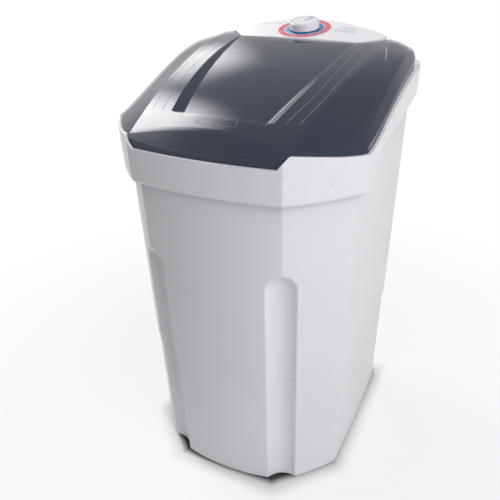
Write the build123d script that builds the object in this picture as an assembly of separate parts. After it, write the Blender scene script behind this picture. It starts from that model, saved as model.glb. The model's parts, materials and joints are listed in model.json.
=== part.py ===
from build123d import *
import os
from math import atan2, cos, degrees, pi, radians, sin, sqrt, tan

# Single-tub washing machine, in millimetres.
# x runs across, y to the back, z up from the floor. The origin is on the floor under the middle.

# Cabinet plan at shoulder height: a rectangle with two wide front chamfers and bowed faces
half_width = 240.0
front_corner_x = 141.0      # where the front face meets the chamfer
front_corner_y = 233.0
side_corner_y = 128.0       # where the chamfer meets the side
body_rear_y = 244.0
front_bow = 20.0            # how far each face swells past its chord
chamfer_bow = 5.0
side_bow = 2.5
rear_bow = 1.0
front_round = 9.0           # radii of the upright corners
side_round = 10.0
rear_round = 42.0

# Heights
foot_height = 10.0
rim_z = foot_height         # lower rim of the base skirt
seam_z = 299.0              # parting seam between skirt and cabinet
shoulder_z = 690.0          # level at which the plan above is measured
body_taper = 11.0           # how far every face leans in from shoulder to rim
wall = 3.5
skirt_setback = 2.5         # the cabinet overhangs the skirt by this much
lip_height = 14.0           # the skirt's lip inside the cabinet
joint_gap = 0.3
over = 5.0                  # how far a cutter runs on past what it cuts

# Flute at each front corner
flute_radius = 45.0
flute_depth = 18.0
flute_top_z = 515.0         # centre of the round end
flute_edge_round = 5.0

# Collar
collar_low_out = 14.0       # how far it stands out from the cabinet plan at its lowest level
collar_high_out = 18.0
collar_low_z = 680.0
collar_high_z = 862.0
collar_front_bow = 14.2
collar_edge_round = 7.0
collar_round_up = 12.0      # its rear corners are this much rounder than the cabinet's
collar_skirt_z = 690.0      # lower edge at the front
collar_step_y = -88.0       # where the deep front part ends on the side
collar_step_z = 742.0
collar_side_rear_z = 800.0
collar_step_run = 18.0
collar_step_round = 12.0
collar_rear_climb = 60.0     # rise of the lower edge over the cutter's reach behind the machine
deck_front_z = 776.0        # seam with the lid: front corner, chamfer end, middle, rear
deck_dip_z = 763.0
deck_dip_y = -133.0
deck_mid_y = 10.0
deck_mid_z = 807.0
deck_rear_z = 856.0
deck_run_out = 10.0
notch_half = 138.0          # lowered middle of the front, for the lid's lip
notch_z = 755.0
notch_slope = 17.0
mouth_inset = 28.0
mouth_rear_y = 138.0
mouth_round = 20.0
tub_round_up = 30.0         # the tub's corners are this much rounder than the cabinet's

# Tub
tub_floor_z = 335.0
tub_taper = 18.0
tub_rear_taper = 18.0
tub_floor_round = 30.0
tub_wall = 3.5
flange_thick = 4.0
flange_out = 3.0
tub_seat_front_z = 712.0    # upper edge of the cabinet, which carries the tub's flange
tub_seat_side_z = 757.0
tub_seat_rear_z = 817.0
tub_seat_rise_y = -130.0
tub_seat_top_y = -60.0
rib_width = 10.0
rib_proud = 4.0
guard_height = 7.0
guard_thick = 3.0

# Lid
lid_gap = 0.5
panel_gap = 4.5             # between the lid's rear notch and the control panel
lid_wall = 3.0
lid_out = 11.0              # its skirt stands out from the cabinet plan by this much
lid_front_bow = 12.0
lid_rear_y = 206.0
lid_rear_bow = 53.0
lid_skirt = 8.0             # upright part of the side skirt, above the seam
lid_bevel = 10.0            # width of the bevel above it
lid_crown_front = 4.0       # how far its middle swells above the shoulders' line
lid_crown_rear = 12.0
lid_rim_depth = 12.0
crease_round = 60.0
window_edge_round = 1.5
lid_spare = 5.0             # how far its cross-sections run on past the plan that trims them
lip_front_y = -254.0
lip_band = 9.0
crease_y = -212.5
crease_z = 792.0
dome_rear_y = 147.0
dome_rear_z = 897.5
shoulder_front_y = -228.0   # the line where the shoulders begin, from front to rear
shoulder_front_half = 150.0
shoulder_rear_y = 217.0
shoulder_rear_half = 205.0
lid_drops = [               # y of a cross-section, and how far its sides lie below its middle
    (-262.0, 25.0), (-133.0, 46.0), (-60.0, 42.0), (-6.0, 36.0), (70.0, 26.0), (182.0, 21.0), (270.0, 22.0)]
window_front_y = -175.0
window_front_z = 809.0
window_rear_y = 175.0       # it comes up flush behind the edge of the notch
window_front_half = 101.5
window_rear_half = 136.0
window_flare = 2.4          # how soon it reaches its full width
window_steps = 5
window_depth = 10.0
window_bank = 2.2           # run of the sloping side of the window for each unit of depth

# Hinge of the lid
hinge_y = 252.0
hinge_z = 874.0
hinge_x = 203.0
hinge_pin_radius = 3.0
hinge_fit = 0.06
knuckle_radius = 7.0
knuckle_width = 17.0
lug_thick = 6.0
lug_gap = 0.4
hinge_arm_y = 221.0         # where the arms start inside the lid's rear skirt
hinge_arm_rise = 2.0

# Control panel
panel_tilt = 12.0
panel_crown = 1050.0        # radius of its crown from side to side
dial_y = 205.5
dial_z = 912.1
panel_front_half = 137.0
panel_front_y = 167.0
panel_front_bow = 22.0
panel_end_half = 175.0
panel_end_y = 214.0
panel_rear_half = 178.0
panel_rear_y = 233.0
panel_rear_bow = 33.0
panel_wall = 3.0
panel_cut = 40.0            # half the length of the bores through the panel
panel_edge_round = 3.0
dial_radius = 59.5
dial_thick = 1.3
dial_sunk = 0.9
knob_radius = 33.0
knob_height = 14.5
knob_lift = 1.2
knob_draft = 1.6
knob_wall = 3.0
timer_shaft_radius = 3.0
timer_size = 58.0
timer_depth = 30.0
timer_gap = 7.0
timer_neck = 12.0
hub_radius = 7.0
cap_radius = 27.0
cap_thick = 2.0
pointer_width = 5.0
pointer_proud = 0.8
pointer_turn = -35.0

# Drive
axis_y = -41.0              # upright axis of the impeller
impeller_radius = 125.0
impeller_gap = 3.0
shaft_radius = 6.0
shaft_fit = 0.04
housing_radius = 20.0
housing_flange = 46.0
housing_low_z = 254.0
bush_outer = 10.0
bush_length = 16.0
seal_outer = 14.0
seal_thick = 8.0
bracket_z = 258.0
bracket_thick = 3.0
belt_z = 232.0
belt_height = 9.4
belt_thick = 8.0
belt_clearance = 0.3
groove_big = 92.0
groove_small = 14.0
pulley_flange = 3.0
pulley_rim = 2.0
motor_offset = 150.0        # distance between the two upright axes
motor_radius = 60.0
motor_top_z = 212.0
motor_height = 96.0
impeller_thick = 4.0
vane_count = 6
vane_width = 9.0
vane_height = 15.0
vane_end = 8.0              # how far the vanes stop short of the rim, and the slope of their ends
vane_round = 2.0
impeller_hub = 20.0
impeller_hub_height = 24.0
impeller_cap_radius = 12.0
impeller_cap_height = 4.0
pulley_hub = 16.0
pulley_web = 4.0
pulley_hole = 17.0
pulley_holes = 6
nut_flats = 19.0
nut_height = 7.0
rotor_radius = 5.0
motor_pulley_hub = 10.0
motor_ear_height = 18.0
motor_slots = 12
rotor_end = 6.0             # how far its shaft stands out below the fan
fan_radius = 42.0
fan_height = 10.0
fan_blades = 7
mount_radius = 9.0
mount_stud = 3.0
mount_stud_end = 6.0
mount_waist = 2.5
mount_places = [(-54.0, -22.0), (54.0, -22.0), (-42.0, 38.0), (42.0, 38.0)]
bracket_half = 90.0
bracket_front_y = -115.0
bracket_rear_y = 170.0
bracket_round = 14.0
bracket_flange = 12.0
bolt_head = 6.0
bolt_head_height = 4.0
capacitor_radius = 20.0
capacitor_length = 70.0
capacitor_y = 132.0
capacitor_round = 2.0
terminal_place = 7.0
terminal_length = 9.0
clip_thick = 2.0
clip_width = 16.0
clip_foot = 34.0

# Lint filter on the tub's rear wall
filter_z = 470.0            # lower end of its holder
filter_height = 150.0
filter_half = 42.0
filter_depth = 18.0
filter_play = 0.8
holder_wall = 3.0
holder_lip = 8.0
filter_head = 10.0          # solid part above its hollow
mesh_columns = 7
mesh_rows = 7
mesh_pitch = 10.0
mesh_rise = 15.0
mesh_foot = 20.0
mesh_half = 3.2
mesh_high = 5.0
grip_half = 18.0
grip_reach = 8.0
grip_thick = 5.0

# Small features of the casing
rim_width = 22.0
foot_radius = 16.0
foot_stem = 5.0
foot_boss = 19.0
foot_boss_height = 16.0
foot_places = [(-190.0, -105.0), (190.0, -105.0), (-185.0, 190.0), (185.0, 190.0)]
pad_proud = 1.5
rear_pad_cut = 20.0         # half the length of the bores through the rear pads
foot_edge_round = 2.0
spigot_x = 128.0
spigot_z = 62.0
spigot_radius = 11.0
spigot_pad = 22.0
gland_x = -140.0
gland_z = 90.0
gland_radius = 6.5
gland_pad = 14.0
guard_inner = impeller_radius + 6.0
rib_stop = 30.0
front_rib_places = (-80.0, -40.0, 0.0, 40.0, 80.0)
side_rib_places = (-60.0, 0.0, 60.0)
boss_radius = 9.0
boss_bore = 20.0
boss_places = [(-70.0, axis_y - 55.0), (70.0, axis_y - 55.0), (-70.0, axis_y + 55.0), (70.0, axis_y + 55.0)]
screw_radius = 2.2
plate_thick = 2.5
vent_rows = 7
vent_pitch = 16.0
vent_width = 6.0
vent_half = 55.0
plate_screws = [(-120.0, 217.0), (120.0, 217.0), (-60.0, -221.0), (60.0, -221.0)]
hose_outer = 13.0
hose_inner = 10.5
hose_bend = 34.0
stub_radius = 10.15
stub_length = 12.0
drain_low_z = 300.0
spigot_bore = 8.0
spigot_reach = 25.0
gland_bore = 3.6
gland_reach = 9.0
drain_x = 128.0
drain_y = 62.0
drain_radius = 13.0
grille_hole = 2.4
grille_holes = 6
grille_ring = 7.5

reach = 400.0               # half span of the solids that only serve as cutters

# Basic solids


def cylinder(radius, low, high, x=0.0, y=0.0):
    """Upright cylinder between two levels."""
    return Pos(x, y, (low + high) / 2) * Cylinder(radius, high - low)


def tube(outer, inner, low, high, x=0.0, y=0.0):
    """Upright tube between two levels."""
    return cylinder(outer, low, high, x, y) - cylinder(inner, low - 1, high + 1, x, y)


def bar(radius, start, end):
    """Round bar from one point to another."""
    run = Vector(*end) - Vector(*start)
    return Plane(start, z_dir=run) * (Pos(0, 0, run.length / 2) * Cylinder(radius, run.length))


def block(low, high):
    """Box between two corners."""
    middle = [(a + b) / 2 for a, b in zip(low, high)]
    return Pos(*middle) * Box(*[b - a for a, b in zip(low, high)])


def mirrored(shape):
    """The same shape on the other side of the middle plane."""
    return mirror(shape, about=Plane.YZ)


def both_sides(shape):
    """A shape together with its mirror image, as separate solids."""
    return Compound(children=list(shape.solids()) + list(mirrored(shape).solids()))


def side_prism(path):
    """Solid that has the given closed outline in the side view and spans the whole width."""
    return extrude(make_face(path), amount=reach, dir=(1, 0, 0), both=True)


def side_point(y, z):
    return (0, y, z)


# Plan of the cabinet and of everything that follows it

chamfer_angle = atan2(front_corner_y - side_corner_y, half_width - front_corner_x)


def outline(level, out=0.0, bow=front_bow, rear=None, back_bow=rear_bow, back_round=rear_round,
            round_up=0.0):
    """Wire of the plan at one level, moved outwards by out on every face."""
    rear_line = body_rear_y + out if rear is None else rear
    p1 = (front_corner_x + out * tan(chamfer_angle / 2), -front_corner_y - out)
    p2 = (half_width + out, -side_corner_y - out * tan((pi / 2 - chamfer_angle) / 2))
    p3 = (half_width + out, rear_line)
    middle = ((p1[0] + p2[0]) / 2 + chamfer_bow * sin(chamfer_angle),
              (p1[1] + p2[1]) / 2 - chamfer_bow * cos(chamfer_angle))
    side_middle = (p2[0] + side_bow, (p2[1] + p3[1]) / 2)

    def flip(point):
        return (-point[0], point[1])

    edges = [
        ThreePointArc(flip(p1), (0, p1[1] - bow), p1),
        ThreePointArc(p1, middle, p2),
        ThreePointArc(p2, side_middle, p3),
        ThreePointArc(p3, (0, rear_line + back_bow), flip(p3)) if back_bow else Line(p3, flip(p3)),
        ThreePointArc(flip(p3), flip(side_middle), flip(p2)),
        ThreePointArc(flip(p2), flip(middle), flip(p1)),
    ]
    plan = make_face(edges).face()
    rounds = [(p1, front_round), (p2, side_round), (p3, back_round)]
    for corner, radius in rounds:
        for point in (corner, flip(corner)):
            vertex = plan.vertices().sort_by_distance(point)[0]
            plan = plan.fillet_2d(radius + round_up, [vertex])
    return plan.outer_wire().moved(Location((0, 0, level)))


def body_out(level):
    """How far the cabinet's faces stand out at a level, from its taper."""
    return -body_taper * (shoulder_z - level) / (shoulder_z - rim_z)


def body_block(low, high, grow=0.0):
    """Solid of the cabinet's form between two levels, without its flutes."""
    return Solid.make_loft([outline(low, body_out(low) + grow), outline(high, body_out(high) + grow)], True)


def flute_axis(level):
    """Point on the axis of the right-hand flute."""
    out = body_out(level)
    away = flute_radius - flute_depth
    return (front_corner_x + out * tan(chamfer_angle / 2) + away * sin(chamfer_angle / 2),
            -front_corner_y - out - away * cos(chamfer_angle / 2), level)


def flute_cutter(grow=0.0):
    """Round-ended bar that presses a flute into each front corner."""
    radius = flute_radius - grow
    top = Vector(*flute_axis(flute_top_z))
    run = top - Vector(*flute_axis(rim_z - 40))
    profile = make_face([
        Polyline((0, 0, radius), (0, 0, -run.length), (radius, 0, -run.length), (radius, 0, 0)),
        ThreePointArc((radius, 0, 0), (radius * sin(pi / 4), 0, radius * cos(pi / 4)), (0, 0, radius)),
    ])
    cutter = Plane(top, z_dir=run) * revolve(profile, Axis.Z)
    return both_sides(cutter)


def fluted_block(low, high, grow=0.0):
    """Solid of the cabinet's form with both flutes pressed in."""
    return body_block(low, high, grow) - flute_cutter(grow)


# Side-view profiles: the cabinet's top edge, the collar's two edges


def tub_seat_line(rise=0.0):
    """Upper edge of the cabinet in the side view, from front to rear."""
    start = side_point(-reach, tub_seat_front_z + rise)
    knee = side_point(tub_seat_rise_y, tub_seat_front_z + rise)
    bend = side_point(tub_seat_top_y, tub_seat_side_z + rise)
    end = side_point(reach, tub_seat_rear_z + rise)
    return start, knee, bend, end


def above_tub_seat(rise=0.0):
    start, knee, bend, end = tub_seat_line(rise)
    high = 2 * reach + deck_rear_z
    path = Polyline(start, knee, bend, end, side_point(reach, high), side_point(-reach, high), close=True)
    return side_prism(path)


def deck_line(rise=0.0):
    """Seam between collar and lid in the side view: a dip behind the front corner, then a climb."""
    return Spline(
        side_point(-reach, deck_front_z + rise),
        side_point(-front_corner_y, deck_front_z + rise),
        side_point(deck_dip_y, deck_dip_z + rise),
        side_point(deck_mid_y, deck_mid_z + rise),
        side_point(body_rear_y, deck_rear_z + rise),
        side_point(reach, deck_rear_z + deck_run_out + rise),
        tangents=[(0, 1, 0), (0, 1, 0)])


def above_deck(rise=0.0):
    line = deck_line(rise)
    high = 2 * reach + deck_rear_z
    path = [line, Polyline(line @ 1, side_point(reach, high), side_point(-reach, high), line @ 0)]
    return side_prism(path)


def below_collar():
    """Everything under the collar's lower edge: level at the front, then a round step up along the sides."""
    edge = FilletPolyline(
        side_point(-reach, collar_skirt_z), side_point(collar_step_y, collar_skirt_z),
        side_point(collar_step_y + collar_step_run, collar_step_z),
        side_point(body_rear_y + reach, collar_side_rear_z + collar_rear_climb), radius=collar_step_round)
    start, end = edge @ 0, edge @ 1
    low = -reach
    back = Polyline(side_point(end.Y, end.Z), side_point(end.Y, low), side_point(start.Y, low),
                    side_point(start.Y, start.Z))
    return side_prism([edge, back])


def front_notch(grow=0.0):
    """Lowered middle part of the front seam, for the lip of the lid."""
    foot = notch_z - grow
    half = notch_half + grow * 0.6
    high = deck_rear_z
    run = notch_slope / (deck_front_z - notch_z) * (high - foot)
    points = [(-half, 0, foot), (half, 0, foot), (half + run, 0, high), (-half - run, 0, high)]
    prism = extrude(make_face(Polyline(*points, close=True)), amount=reach, dir=(0, -1, 0))
    return prism - block((-reach, -front_corner_y + mouth_inset + grow, 0), (reach, reach, 2 * reach + high))


# Outer casing


def soften_flutes(solid, low, grow=0.0):
    """Round the edges where the flutes meet the faces of a fluted block."""
    radius = flute_radius - grow
    edges = []
    for edge in solid.edges():
        middle = edge @ 0.5
        near = Vector(*flute_axis(min(middle.Z, flute_top_z)))
        off_axis = (Vector(abs(middle.X), middle.Y, middle.Z) - near).length
        if abs(off_axis - radius) < 1 and middle.Z > low + 1:
            edges.append(edge)
    return solid.fillet(flute_edge_round, edges)


def cabinet_shell():
    """Upper cabinet moulding, open above and below, with a flute at each front corner."""
    top = tub_seat_rear_z + 40
    outer = soften_flutes(fluted_block(seam_z, top), seam_z)
    inner = fluted_block(seam_z - over, top + over, -wall)
    return outer - inner - above_tub_seat()


def base_skirt():
    """Lower moulding under the seam: lip inside the cabinet, turned-in rim, foot bosses, pads at the rear."""
    set_in = -skirt_setback
    outer = soften_flutes(fluted_block(rim_z, seam_z, set_in), rim_z, set_in)
    inner = fluted_block(rim_z - over, seam_z + over, set_in - wall)
    skirt = outer - inner
    lip_out = -wall - joint_gap
    lip = fluted_block(seam_z - lip_height / 2, seam_z + lip_height, lip_out)
    lip -= fluted_block(seam_z - lip_height, seam_z + 2 * lip_height, lip_out - wall)
    rim = fluted_block(rim_z, rim_z + wall, set_in - 1)
    rim -= fluted_block(rim_z - over, rim_z + 2 * wall, set_in - rim_width)
    skirt = skirt + lip + rim
    trim = fluted_block(rim_z - 1, seam_z + 1, set_in - 1)
    for x, y in foot_places:
        skirt += cylinder(foot_boss, rim_z, rim_z + foot_boss_height, x, y) & trim
    skirt += rear_pad(spigot_x, spigot_z, spigot_pad) + rear_pad(gland_x, gland_z, gland_pad)
    for x, y in foot_places:
        skirt -= cylinder(foot_stem + joint_gap, rim_z - 1, rim_z + foot_boss_height - wall, x, y)
    for x, y in plate_screws:
        skirt -= cylinder(screw_radius, rim_z - 1, rim_z + 2 * wall, x, y)
    skirt -= rear_bore(spigot_x, spigot_z, spigot_radius + joint_gap)
    skirt -= rear_bore(gland_x, gland_z, gland_radius + joint_gap)
    return skirt


def skirt_rear(level):
    """Outer face of the skirt at its rear, at one level."""
    return body_rear_y + body_out(level) - skirt_setback


def rear_pad(x, z, radius):
    """Flat round pad on the rear wall, which a fitting seats against."""
    face = skirt_rear(z) + pad_proud
    return bar(radius, (x, face - wall - 2 * pad_proud, z), (x, face, z))


def rear_bore(x, z, radius):
    face = skirt_rear(z)
    return bar(radius, (x, face - rear_pad_cut, z), (x, face + rear_pad_cut, z))


def foot(x, y):
    """Rubber foot with a stem pressed into the skirt's boss."""
    pad = cylinder(foot_radius, 0, rim_z, x, y)
    pad = pad.fillet(foot_edge_round, pad.edges().filter_by(GeomType.CIRCLE).group_by(Axis.Z)[0])
    return pad + cylinder(foot_stem, rim_z - 1, rim_z + foot_boss_height - wall - 1, x, y)


def collar_block(low, high, grow=0.0):
    """Solid of the collar's outer form between two levels."""
    def out(level):
        share = (level - collar_low_z) / (collar_high_z - collar_low_z)
        return collar_low_out + (collar_high_out - collar_low_out) * share + grow
    wires = [outline(level, out(level), bow=collar_front_bow, back_round=rear_round + collar_round_up)
             for level in (low, high)]
    return Solid.make_loft(wires, True)


def mouth_block(low, high, grow=0.0):
    """Prism through the tub's mouth."""
    out = -mouth_inset + grow
    rear = mouth_rear_y + grow
    wires = [outline(level, out, rear=rear, back_bow=0, back_round=mouth_round, round_up=tub_round_up)
             for level in (low, high)]
    return Solid.make_loft(wires, True)


def top_collar():
    """White rim round the mouth: outer band, deck under the lid, and the wall down to the tub's flange."""
    low, high = collar_low_z - 6 * over, collar_high_z + 12 * over
    band = collar_block(low, high) - above_deck() - below_collar() - front_notch()
    band = band.fillet(collar_edge_round, [edge for edge in band.edges() if on_collar_foot(edge)])
    hollow = collar_block(low - over, high + over, -wall) - above_deck(-wall) - front_notch(wall)
    throat = mouth_block(tub_seat_front_z, high, wall) & above_tub_seat(flange_thick + joint_gap)
    throat = throat - above_deck() - front_notch()
    collar = (band - hollow) + throat - mouth_block(low, high + over)
    for x in (-hinge_x, hinge_x):
        for side in (-1, 1):
            collar += hinge_lug(x + side * (knuckle_width / 2 + lug_gap + lug_thick / 2))
        collar -= hinge_bore(x)
    return collar


def on_collar_foot(edge):
    """True for the long outer edges along the collar's underside."""
    middle = edge @ 0.5
    outside = abs(middle.X) > half_width or middle.Y > body_rear_y or middle.Y < -front_corner_y
    low = middle.Z < collar_skirt_z + 1 if middle.Y < collar_step_y else middle.Z < collar_side_rear_z
    return outside and low and edge.length > 3 and abs((edge @ 0).Z - (edge @ 1).Z) < 0.9 * edge.length


def hinge_lug(x):
    """Upstanding ear on the collar's rear deck, drilled for the hinge pin by the caller."""
    foot_low = deck_rear_z - wall
    profile = make_face([
        Polyline((0, knuckle_radius, 0), (0, knuckle_radius, foot_low - hinge_z),
                 (0, -knuckle_radius, foot_low - hinge_z), (0, -knuckle_radius, 0)),
        ThreePointArc((0, -knuckle_radius, 0), (0, 0, knuckle_radius), (0, knuckle_radius, 0)),
    ])
    plate = extrude(profile, amount=lug_thick / 2, dir=(1, 0, 0), both=True)
    return Pos(x, hinge_y, hinge_z) * plate


# Tub


def tub_block(low, high, grow=0.0):
    """Solid of the tub's hollow between two levels, moved outwards by grow."""
    def wire(level):
        share = (tub_seat_rear_z - level) / (tub_seat_rear_z - tub_floor_z)
        out = grow - mouth_inset - tub_taper * share
        rear = mouth_rear_y + grow - tub_rear_taper * share
        return outline(level, out, rear=rear, back_bow=0, back_round=mouth_round, round_up=tub_round_up)
    return Solid.make_loft([wire(low), wire(high)], True)


def rounded_tub(low, high, grow, radius):
    """The same solid with its lower edge rounded into the floor."""
    solid = tub_block(low, high, grow)
    return solid.fillet(radius, solid.faces().sort_by(Axis.Z)[0].edges())


def wash_tub():
    """Tub with a flange that hangs on the cabinet, ribs on its walls and a floor for the impeller."""
    high = tub_seat_rear_z + 40
    outer = rounded_tub(tub_floor_z - tub_wall, high, tub_wall, tub_floor_round + tub_wall)
    hollow = rounded_tub(tub_floor_z, high, 0, tub_floor_round)
    lower = above_tub_seat(flange_thick)
    flange = Solid.make_loft([outline(level, flange_out) for level in (tub_seat_front_z - 20, high)], True)
    flange = (flange & above_tub_seat()) - lower
    tub = (outer - lower) + flange - hollow
    tub += wall_ribs(hollow)
    tub += tube(guard_inner + guard_thick, guard_inner, tub_floor_z - 1, tub_floor_z + guard_height, y=axis_y)
    tub += tub_bosses()
    tub -= cylinder(seal_outer + joint_gap, tub_floor_z - 20, tub_floor_z + 20, 0, axis_y)
    tub -= cylinder(drain_radius + joint_gap, tub_floor_z - 20, tub_floor_z + 20, drain_x, drain_y)
    return tub


def wall_ribs(hollow):
    """Upright scrubbing ribs that follow the sloping walls."""
    low, high = tub_floor_z + tub_floor_round, tub_seat_front_z - rib_stop
    skin = tub_block(low, high, 1.0) - tub_block(low - 1, high + 1, -rib_proud)
    cutters = []
    for place in front_rib_places:
        cutters.append(block((place - rib_width / 2, -reach, low), (place + rib_width / 2, axis_y, high)))
    for place in side_rib_places:
        cutters.append(block((-reach, place - rib_width / 2, low), (reach, place + rib_width / 2, high)))
    ribs = [skin & cutter for cutter in cutters]
    total = ribs[0]
    for rib in ribs[1:]:
        total += rib
    return total


def tub_bosses():
    """Posts under the floor that carry the drive's bracket."""
    posts = [cylinder(boss_radius, bracket_z + bracket_thick, tub_floor_z - 1, x, y) for x, y in boss_places]
    total = posts[0]
    for post in posts[1:]:
        total += post
    for x, y in boss_places:
        total -= cylinder(screw_radius, bracket_z, bracket_z + bracket_thick + boss_bore, x, y)
    return total


# Lid


def deck_height(y):
    """Height of the seam between collar and lid at one y."""
    line = deck_line()
    low, high = 0.0, 1.0
    for _ in range(24):
        middle = (low + high) / 2
        if (line @ middle).Y < y:
            low = middle
        else:
            high = middle
    return (line @ low).Z


def dome_height(y):
    """Height of the lid's middle line, on a circle through the crease, the window's front and the rear."""
    y1, z1, y2, z2, y3, z3 = crease_y, crease_z, window_front_y, window_front_z, dome_rear_y, dome_rear_z
    a, b, c = y2 - y1, z2 - z1, (y2 ** 2 - y1 ** 2 + z2 ** 2 - z1 ** 2) / 2
    d, e, f = y3 - y1, z3 - z1, (y3 ** 2 - y1 ** 2 + z3 ** 2 - z1 ** 2) / 2
    centre_y = (c * e - b * f) / (a * e - b * d)
    centre_z = (a * f - c * d) / (a * e - b * d)
    radius = sqrt((y1 - centre_y) ** 2 + (z1 - centre_z) ** 2)
    return centre_z + sqrt(radius ** 2 - (y - centre_y) ** 2)


def lid_line(y):
    """Half width of the shoulders' line at one y, and how far it lies below the lid's middle line."""
    share = (y - shoulder_front_y) / (shoulder_rear_y - shoulder_front_y)
    half = shoulder_front_half + (shoulder_rear_half - shoulder_front_half) * share
    return half, lid_crown_front + (lid_crown_rear - lid_crown_front) * share


def lid_section(y, drop, shrink):
    """Cross-section of the lid's form at one y: skirt, bevel, sloping shoulder and crowned middle."""
    top = dome_height(y) - shrink
    crease_half, crown_fall = lid_line(y)
    edge_half = half_width + lid_out - lid_bevel - shrink
    side = half_width + lid_out + side_bow + lid_spare - shrink
    edge_z = top - drop
    skirt_z = min(deck_height(y) + lid_skirt, edge_z - lid_spare)
    right = [(crease_half - shrink / 2, y, top - crown_fall), (edge_half, y, edge_z), (side, y, skirt_z),
             (side, y, notch_z - 40)]
    left = [(-x, back, z) for x, back, z in reversed(right)]
    crown = ThreePointArc(left[-1], (0, y, top), right[0])
    return make_face([crown, Polyline(right), Line(right[-1], left[0]), Polyline(left)]).face().outer_wire()


def lid_form(shrink=0.0):
    """Domed solid through the lid's cross-sections, before its plan is cut."""
    return Solid.make_loft([lid_section(y, drop, shrink) for y, drop in lid_drops])


def lid_plan(grow=0.0):
    """Upright prism of the lid's plan."""
    wires = [outline(level, lid_out + grow, bow=lid_front_bow, rear=lid_rear_y + grow, back_bow=lid_rear_bow)
             for level in (notch_z - 4 * over, dome_rear_z + 4 * over)]
    return Solid.make_loft(wires, True)


def front_slant(inset=0.0):
    """Everything in front of the sloping face that rises from the lip to the crease."""
    run = Vector(0, crease_y - lip_front_y, crease_z - notch_z - lip_band).normalized()
    shift = Vector(0, run.Z, -run.Y) * inset
    foot = Vector(0, lip_front_y, notch_z + lip_band) + shift
    low = foot - run * reach / 2
    high = foot + run * reach
    front_high, front_low = side_point(-reach, high.Z), side_point(-reach, low.Z)
    return side_prism(Polyline(tuple(low), tuple(high), front_high, front_low, close=True))


def window_section(y, share, grow):
    """Cross-section of the sunk window's cutter; share runs from 0 at the front to 1 at the rear."""
    depth = window_depth * (1 - share ** 2)
    spread = 1 - (1 - share) ** window_flare
    half = window_front_half + (window_rear_half - window_front_half) * spread
    half += grow * 0.6 - window_bank * depth
    shoulder_half, crown_fall = lid_line(y)
    floor = dome_height(y) - depth - grow
    rise = window_depth + lid_crown_rear + lid_wall
    right = (half, y, floor - crown_fall * (half / shoulder_half) ** 2)
    right_top = (half + window_bank * rise, y, right[2] + rise)
    left, left_top = (-right[0], y, right[2]), (-right_top[0], y, right_top[2])
    arc = ThreePointArc(left, (0, y, floor), right)
    return make_face([arc, Polyline(right, right_top, left_top, left)]).face().outer_wire()


def window_cutter(grow=0.0):
    """Solid that sinks the window into the lid: deepest at the front and flush at the rear."""
    front = window_front_y - grow
    run = window_rear_y - front
    shares = [step / window_steps for step in range(window_steps + 1)]
    return Solid.make_loft([window_section(front + run * share, share, grow) for share in shares])


def lid():
    """Domed, tinted lid: a shell with bevelled sides, a sunk window, a front lip and two hinge arms."""
    outer = (lid_form() & lid_plan()) - front_slant()
    notch = panel_prism(panel_gap, open_rear=True)
    rim = panel_prism(panel_gap + lid_wall, open_rear=True) - lid_form(lid_rim_depth)
    hollow = (lid_form(lid_wall) & lid_plan(-lid_wall)) - front_slant(lid_wall)
    hollow = hollow - window_cutter(lid_wall) - rim
    room = above_deck(lid_gap) + front_notch_lip()
    shell = ((outer - window_cutter() - hollow) & room) - notch
    shell = shell.fillet(crease_round, [edge for edge in shell.edges() if on_crease(edge)])
    shell = shell.fillet(window_edge_round, [edge for edge in shell.edges() if on_window(edge)])
    for x in (-hinge_x, hinge_x):
        shell += hinge_arm(x)
    for x in (-hinge_x, hinge_x):
        shell -= hinge_bore(x)
    return shell


def on_crease(edge):
    """True for the edges where the lid's sloping front meets its top, outside and inside."""
    middle = edge @ 0.5
    near = abs(middle.Y - crease_y) < lid_rim_depth and middle.Z > crease_z - lid_rim_depth
    return near and abs(middle.X) < 1


def on_window(edge):
    """True for the edges of the sunk window and of the step under it."""
    middle = edge @ 0.5
    rear = panel_front_y - panel_front_bow - panel_gap - over
    inside = abs(middle.X) < window_rear_half and window_front_y - over < middle.Y < rear
    return inside and middle.Z > dome_height(middle.Y) - window_depth - over


def hinge_bore(x):
    """Cutter for the bore that a hinge pin runs in."""
    span = knuckle_width + lug_thick
    return bar(hinge_pin_radius + hinge_fit, (x - span, hinge_y, hinge_z), (x + span, hinge_y, hinge_z))


def front_notch_lip():
    """Room in the collar's front notch that the lip of the lid fills."""
    return front_notch(-lid_gap) & above_level(notch_z + lid_gap)


def above_level(level):
    return block((-reach, -reach, level), (reach, reach, level + reach))


def hinge_arm(x):
    """Arm from the lid's rear skirt to the knuckle round the hinge pin."""
    low, high = hinge_z - knuckle_radius, hinge_z + knuckle_radius
    profile = make_face([
        Polyline(side_point(hinge_y, low), side_point(hinge_arm_y, low + hinge_arm_rise),
                 side_point(hinge_arm_y, high), side_point(hinge_y, high)),
        ThreePointArc(side_point(hinge_y, high), side_point(hinge_y + knuckle_radius, hinge_z),
                      side_point(hinge_y, low)),
    ])
    return Pos(x, 0, 0) * extrude(profile, amount=knuckle_width / 2, dir=(1, 0, 0), both=True)


def hinge_pin(x):
    span = knuckle_width / 2 + lug_gap + lug_thick
    return bar(hinge_pin_radius, (x - span, hinge_y, hinge_z), (x + span, hinge_y, hinge_z))


# Control panel, dial and timer

tilt = radians(panel_tilt)
panel_up = Vector(0, -sin(tilt), cos(tilt))
panel_along = Vector(0, cos(tilt), sin(tilt))
dial_centre = Vector(0, dial_y, dial_z)
dial_plane = Plane(dial_centre, x_dir=(1, 0, 0), z_dir=panel_up)


def on_panel(radius, low, high):
    """Cylinder on the dial's axis between two heights above the panel."""
    return bar(radius, tuple(dial_centre + panel_up * low), tuple(dial_centre + panel_up * high))


def grown_corner(corner, before, after, grow):
    """Corner moved so that both of its sides, given by their directions in degrees, lie grow further out."""
    first = Vector(sin(radians(before)), -cos(radians(before)))
    second = Vector(sin(radians(after)), -cos(radians(after)))
    return Vector(*corner) + (first + second) * (grow / (1 + first.dot(second)))


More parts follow.
